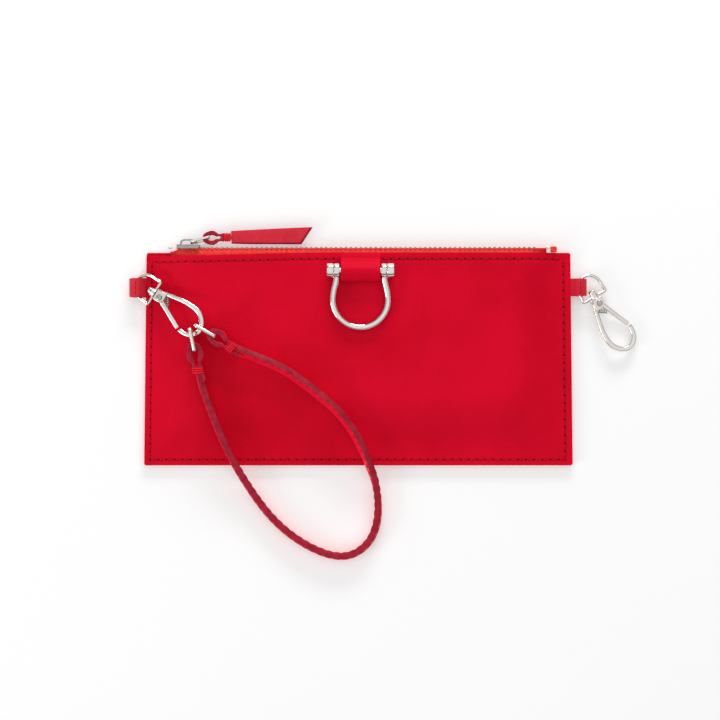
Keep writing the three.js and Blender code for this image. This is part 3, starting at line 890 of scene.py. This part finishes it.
# The shackle: leather tab, cross pin with its cap, horseshoe bow
def shackle_tab(origin):
    """Leather that comes up out of the zip seam, over the pin, and down to the face again."""
    top = POUCH["depth"]
    z = origin.z
    side_view = [(TAB["root"], top + 0.1), (52.4, top + 0.6), (50.8, top + 1.1), (49.9, top + 2.4),
                 (48.6, z + 0.6), (46.6, z + 2.4), (44.8, z + 2.9), (42.6, z + 2.3), (40.4, z + 0.9),
                 (39.3, z - 1), (39.5, top + 1.1)]
    outer = smooth_line([(y, up, 0) for y, up in side_view], 0.4)
    half = TAB["half_width"]
    columns = [-half + 2 * half * k / 40 for k in range(41)]
    rows = []
    for i, p in enumerate(outer):
        share = i / (len(outer) - 1)
        narrow = 0.25 * math.sin(math.pi * share)
        row = []
        for x in columns:
            wave = 0.1 * math.sin(x * 0.55 + share * 3) * share
            row.append((origin.x + 0.1 + x * (1 - narrow / half), p.x, p.y + wave))
        rows.append(row)
    mesh = skin(rows, around=False, caps=False)
    inwards = -1 if mesh.polygons[0].normal.z > 0 else 1
    loop = thickened(mesh, TAB["thick"], inwards, 0.3)
    base = block(origin.x - half + 0.3, origin.x + half - 0.1, 40, 50, top + 0.25, top + 1.3, 0.3)
    ready("shackle_tab_leather", "pouch", ["leather", "edge"], joined(loop, base), ["shackle_tab"])


def shackle_pin(place):
    """The cross pin with its head, and the cap on its other end; profiles are [radius, x]."""
    head = [(0, -16.9), (3.3, -16.9), (3.65, -16.75), (3.8, -16.4), (3.8, -13.9), (3.65, -13.5), (3.3, -13.3),
            (1.6, -13.3), (1.6, 15.4), (0, 15.4)]
    ready("shackle_cross_pin", "pouch", ["nickel"], moved(turned(head), place), ["shackle_pin"])
    cap = [(0, 15.7), (1.9, 15.7), (1.9, 13.3), (3.3, 13.3), (3.65, 13.5), (3.8, 13.9), (3.8, 16.4),
           (3.65, 16.85), (3.3, 17), (0, 17)]
    ready("shackle_pin_cap", "pouch", ["nickel"], moved(turned(cap), place), ["shackle_cap"])


def shackle_bow(place):
    """The horseshoe wire, with an eye on the pin at the end of each arm."""
    radius, arm, drop, wire = 13.9, 11.9, 14.7, 1.7
    shoulder = [(arm + 0.05, -2.8), (arm + 0.25, -4.7), (arm + 0.75, -7.1), (radius - 0.55, -9.9)]
    bend = arc(radius, 172, 368, 22, 0, -drop)
    outline = [*[(-u, v) for u, v in shoulder], *bend, *reversed(shoulder)]
    hoop = swept(smooth_line([(u, v, 0) for u, v in outline], 0.8), circle(wire, 20))
    drum = [(1.95, -1.3), (3.4, -1.3), (3.65, -1.2), (3.75, -1), (3.75, 1), (3.65, 1.2), (3.4, 1.3),
            (1.95, 1.3)]
    eyes = [moved(turned(drum), Matrix.Translation((side * arm, 0, 0))) for side in (-1, 1)]
    bow = moved(joined(hoop, *eyes), place @ Matrix.Rotation(math.radians(4.2), 4, "X"))
    ready("shackle_bow_wire", "bow", ["nickel"], bow, ["shackle_bow"])


def shackle():
    origin, _ = joint_place("shackle_swing")
    place = Matrix.Translation(origin)
    shackle_tab(origin)
    shackle_pin(place)
    shackle_bow(place)


def leather_loop(word, side, hinge_x, y, half):
    """A side tab: leather from the side seam, round the clasp's D-shaped eye and back."""
    hole, leather, lift = SIDE_TAB["hole"], SIDE_TAB["leather"], SIDE_TAB["lift"]
    root = abs(hinge_x) - half_width(y) - GAP
    middle = hole + leather / 2
    path = [(-root, 1.5 - lift), *arc(middle, -112, 112, 30), (-root, 2.4 - lift)]
    line = smooth_line([(x, z, 0) for x, z in path], 0.35)
    rows = []
    for p in line:
        rows.append([(p.x, half * (k / 10 - 1) * (1 - 0.04 * (p.x > 2)), p.y) for k in range(21)])
    loop = thickened(skin(rows, around=False, caps=False), leather, 0, 0.28)
    row = [Vector((0.4, v, middle + 0.45)) for v in (-3.4, 0, 3.4)]
    threads = stitch_row(row, UP, 0, 2, radius=0.25, length=1.5, pitch=2.2)
    turn = Matrix.Rotation(math.pi, 4, "Z") if side < 0 else Matrix.Identity(4)
    place = Matrix.Translation((hinge_x, y, lift)) @ turn
    tab = moved(joined(loop, threads), place)
    # The tab's faces are painted with sheen; its rim takes the edge paint.
    ready(f"{word}_loop", "pouch", ["sheen", "edge", "thread"], tab, [f"{word}_tab"])


# The clasps. Each is drawn in its own frame: x from the swivel to the far end of the
# hook, y towards the gate, z through its thickness.
HOOK_BACK = [(2.4, -3.2), (9.4, -5.1), (16.6, -6.6), (22, -6.9), (26.2, -6.2), (30.4, -2.9), (32.4, 2),
             (30.3, 6.9), (26.2, 9.1), (21.2, 9.35)]
HOOK_BELLY = [(21.9, 7), (25.7, 6.8), (28.4, 4.9), (29.8, 1.8), (28.3, -1.5), (25.2, -3.7), (21, -4.4),
              (15.7, -4.1), (9.4, -2.8), (6.4, -2.4)]


def clasp_frame(name, out):
    """The clasp's own frame at rest, from its swivel and gate joints."""
    base, turn = joint_place(f"{name}_swivel")
    _, open_axis = joint_place(f"{name}_gate_open")
    x = turn * out
    z = -open_axis
    y = z.cross(x)
    return Matrix.Translation(base) @ Matrix((x, y, z)).transposed().to_4x4()


def d_ring(name, place):
    """The D-shaped eye: a wire with a straight bar, and the barrel that the post turns in."""
    wire, half, side = 1.7, 6.35, 5
    outline = [(0, -half), (0, -half / 3), (0, half / 3), (0, half), (-side / 2, half)]
    outline += arc(half, 90, 270, 14, -side, 0)
    outline += [(-side / 2, -half)]
    line = smooth_line([(x, y, 0) for x, y in outline], 0.6, closed=True)
    frame_wire = swept(line, circle(wire / 2, 14), closed=True)
    barrel = turned([(1.2, -1.5), (2, -1.5), (2.2, -1.3), (2.2, 0.65), (2, 0.85), (1.2, 0.85)], 28)
    eye = moved(joined(frame_wire, barrel), place)
    ready(f"{name}_dee", f"{name}_eye", ["nickel"], eye, [f"{name}_d_ring"])


def swivel_post(name, place):
    """The post that the hook turns on, with its head inside the eye."""
    post = [(0, -3.5), (1.4, -3.5), (1.8, -3.2), (1.9, -2.9), (1.9, -1.9), (0.85, -1.8), (0.85, 1.1),
            (0, 1.1)]
    ready(f"{name}_post", f"{name}_snap", ["nickel"], moved(turned(post), place), [f"{name}_swivel_post"])


def hook_body(name, place):
    """The hook: a bent bar between two cheeks that carry the gate's rivet."""
    back, belly = smooth_flat(HOOK_BACK, 0.6), smooth_flat(HOOK_BELLY, 0.6)
    outline = [(1.4, 2), (1.4, -2.5), *back, *belly, (2.1, -2.4), (2.1, 2)]
    core = plate(outline, 2.6, 0.75)
    bore = [(x + CLASP["gate_pivot"], y) for x, y in circle(CLASP["gate_bore"], 20)]
    shape = [(1.4, -2.6), (4, -3.3), (6.6, -3.8), (6.95, -3.4), (6.9, 0.6), (5.6, 2.1), (4, 2.5), (1.6, 2.4),
             (1.4, 2.2)]
    cheeks = [moved(plate(shape, 1, 0.28, [bore]), Matrix.Translation((0, 0, z))) for z in (-1.7, 1.7)]
    hook = moved(joined(core, *cheeks), place)
    ready(f"{name}_hook_body", f"{name}_snap", ["nickel"], hook, [f"{name}_hook"])


def gate(name, place):
    """The gate, its rivet, and the spring that closes it, which gets a mesh of its own."""
    pivot = place @ Matrix.Translation((CLASP["gate_pivot"], 0, 0))
    rivet = [(0, -2.8), (0.9, -2.8), (1.35, -2.68), (1.5, -2.45), (0.8, -2.42), (0.8, 2.42), (1.5, 2.45),
             (1.35, 2.68), (0.9, 2.8), (0, 2.8)]
    stood = moved(turned(rivet), pivot @ Matrix.Rotation(math.radians(90), 4, "Y"))
    ready(f"{name}_rivet", f"{name}_snap", ["steel"], stood, [f"{name}_gate_rivet"])

    outline = [(18.1, 1.4), (17.8, 1.85), *arc(1.85, 90, 345, 20), (17.8, -0.3), (18.1, 0.1)]
    bar = plate(outline, 1.9, 0.5, [circle(CLASP["gate_bore"], 20)])
    closed = pivot @ Matrix.Rotation(math.radians(CLASP["gate_angle"]), 4, "Z")
    ready(f"{name}_gate_bar", f"{name}_keeper", ["nickel"], moved(bar, closed), [f"{name}_gate"])

    turns, steps, length, size = 5, 12, 4.6, 0.9
    start = Vector((7.3, -2.0, 0))
    way = Vector((0.55, 0.83, 0)).normalized()
    across = Vector((way.y, -way.x, 0))
    coil = []
    for k in range(turns * steps + 1):
        a = 2 * math.pi * k / steps
        along = way * (length * k / (turns * steps))
        coil.append(start + along + across * (size * math.cos(a)) + Vector((0, 0, size * math.sin(a))))
    spring = moved(swept(coil, circle(0.24, 8), up=Vector((0.31, 0.2, 0.93))), place)
    made = ready(f"{name}_coil_spring", f"{name}_snap", ["steel"], spring, [f"{name}_gate_spring"])
    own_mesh(made)


def clasp(name, out):
    """All the pieces of one clasp; out is -1 where the hook points against its swivel's axis."""
    place = clasp_frame(name, out)
    d_ring(name, place)
    swivel_post(name, place)
    hook_body(name, place)
    gate(name, place)


# Strap ends: flat oblong rings, leather eyes round their bars, thread bound at the necks
def strap_end(key):
    """One end of the strap; returns its eye and its binding, which stay with the cord."""
    low, high = (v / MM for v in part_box(f"strap_ring_{key}"))
    end = STRAP_ENDS[key]
    length, height, wire, start = RING["length"], RING["height"], RING["wire"], RING["start"]
    hung = Matrix.Translation((*end["caught"], (low.z + high.z) / 2))
    place = hung @ Matrix.Rotation(math.radians(end["yaw"]), 4, "Z")
    oblong = rounded(length / 2 - wire / 2, height / 2 - wire / 2, 1.1, 6)
    line = smooth_line([(start + length / 2 + x, 0, y) for x, y in oblong], 0.5, closed=True)
    ring = swept(line, circle(wire / 2, 16), up=Vector((0.02, 1, 0.01)), closed=True)
    ready(f"strap_ring_{key}_wire", "strap", ["nickel"], moved(ring, place), [f"strap_ring_{key}"])

    bar = place @ Vector((start + length - wire / 2, 0, 0))
    neck = Vector((*end["neck"], bar.z))
    way = neck - bar
    place = Matrix.Translation(bar) @ Matrix.Rotation(math.atan2(way.y, way.x), 4, "Z")
    reach = way.length
    outer, inner = eye_outline(reach - 1.8, 8.6, 2.7, wire / 2 + 0.2)
    loop = plate(outer, BAND["width"] - 0.1, 0.4, [inner], look=1, edge_look=0)
    tail = Vector((*end["tail"], bar.z)) - neck
    bend = math.atan2(tail.y, tail.x) - math.atan2(way.y, way.x)
    run = tail.length
    flap_edge = [(-2.4, 0.9), (-2.4, 1.6), (0, 2.6), (run - 1.4, 2.9), (run + 0.4, 1.5), (run - 1, 1.5)]
    flap = plate([(x, y * end["flap"]) for x, y in flap_edge], 5.6, 0.2, look=1, edge_look=0)
    moved(flap, Matrix.Translation((reach, 0, 0)) @ Matrix.Rotation(bend, 4, "Z"))
    body = moved(joined(loop, flap), place)
    # The eye's sides take the brighter strap leather, a painted highlight; its cut edges take the edge paint.
    eye = ready(f"strap_eye_{key}_leather", "strap", ["band", "edge"], body, [f"strap_eye_{key}"])
    turns = moved(winding(2, 3.15, 3, 1.05, 0.45, slant=0.2), Matrix.Translation((reach, 0, 0)))
    threads = moved(turns, place)
    bound = ready(f"strap_binding_{key}_threads", "strap", ["binding"], threads, [f"strap_binding_{key}"])
    return eye, bound


# The wallet
strap_band, strap_line = wrist_strap()
pouch()
lining("front", lambda x, y: face_height(x, y) - LEATHER - LINING["clear"])
lining("back", lambda x, y: LEATHER + GAP + 0.2)
tape(1)
tape(-1)
zip_teeth()
zip_ends()
slider()
pull()
shackle()
leather_loop("left", -1, -112.05, 36.3, 4.9)
leather_loop("right", 1, 111.6, 36.5, 4.45)
clasp("left", -1)
clasp("right", 1)
strap_pieces = [*strap_end("a"), *strap_end("b")]


# Studio: a white table, soft light from above, and two lamps low beyond the zip and to the left
def floor():
    s = Shader("white_table")
    s.colour(s.noise(3, 2), (0.72, 0.72, 0.72, 1), (0.73, 0.73, 0.73, 1))
    s.set(Roughness=0.9, Emission_Color=(1, 1, 1, 1), Emission_Strength=0.29)
    bpy.ops.mesh.primitive_plane_add(size=6, location=(0, 0, -0.0004))
    made = bpy.context.active_object
    made.name = "table"
    made.data.materials.append(s.material)


def lamp(name, place, wide, tall, power):
    """A rectangular lamp that faces the wallet; its place and size are in metres."""
    data = bpy.data.lights.new(name, "AREA")
    data.shape = "RECTANGLE"
    data.size = wide
    data.size_y = tall
    data.energy = power
    made = bpy.data.objects.new(name, data)
    made.location = place
    made.rotation_euler = (-Vector(place)).to_track_quat("-Z", "Y").to_euler()
    SCENE.collection.objects.link(made)


def studio():
    """White all round, with a dark band above the horizon for the metal to reflect."""
    world = bpy.data.worlds.new("studio")
    world.use_nodes = True
    SCENE.world = world
    nodes, links = world.node_tree.nodes, world.node_tree.links
    place = nodes.new("ShaderNodeTexCoord")
    height = nodes.new("ShaderNodeSeparateXYZ")
    ramp = nodes.new("ShaderNodeValToRGB")
    stops = ramp.color_ramp.elements
    stops[0].position, stops[0].color = 0.0, (0.75, 0.75, 0.76, 1)
    stops[1].position, stops[1].color = 0.86, (1, 1, 1, 1)
    for level, value in ((0.26, 0.6), (0.36, 0.05), (0.5, 0.06), (0.6, 0.8)):
        stops.new(level).color = (value, value, value, 1)
    links.new(place.outputs["Generated"], height.inputs["Vector"])
    links.new(height.outputs["Z"], ramp.inputs["Fac"])
    links.new(ramp.outputs["Color"], nodes["Background"].inputs["Color"])
    nodes["Background"].inputs["Strength"].default_value = 0.92
    lamp("window", (0.15, 1.3, 0.52), 0.8, 0.3, 11)
    lamp("left_card", (-1.2, -0.55, 0.6), 0.7, 0.4, 5.5)


floor()
studio()
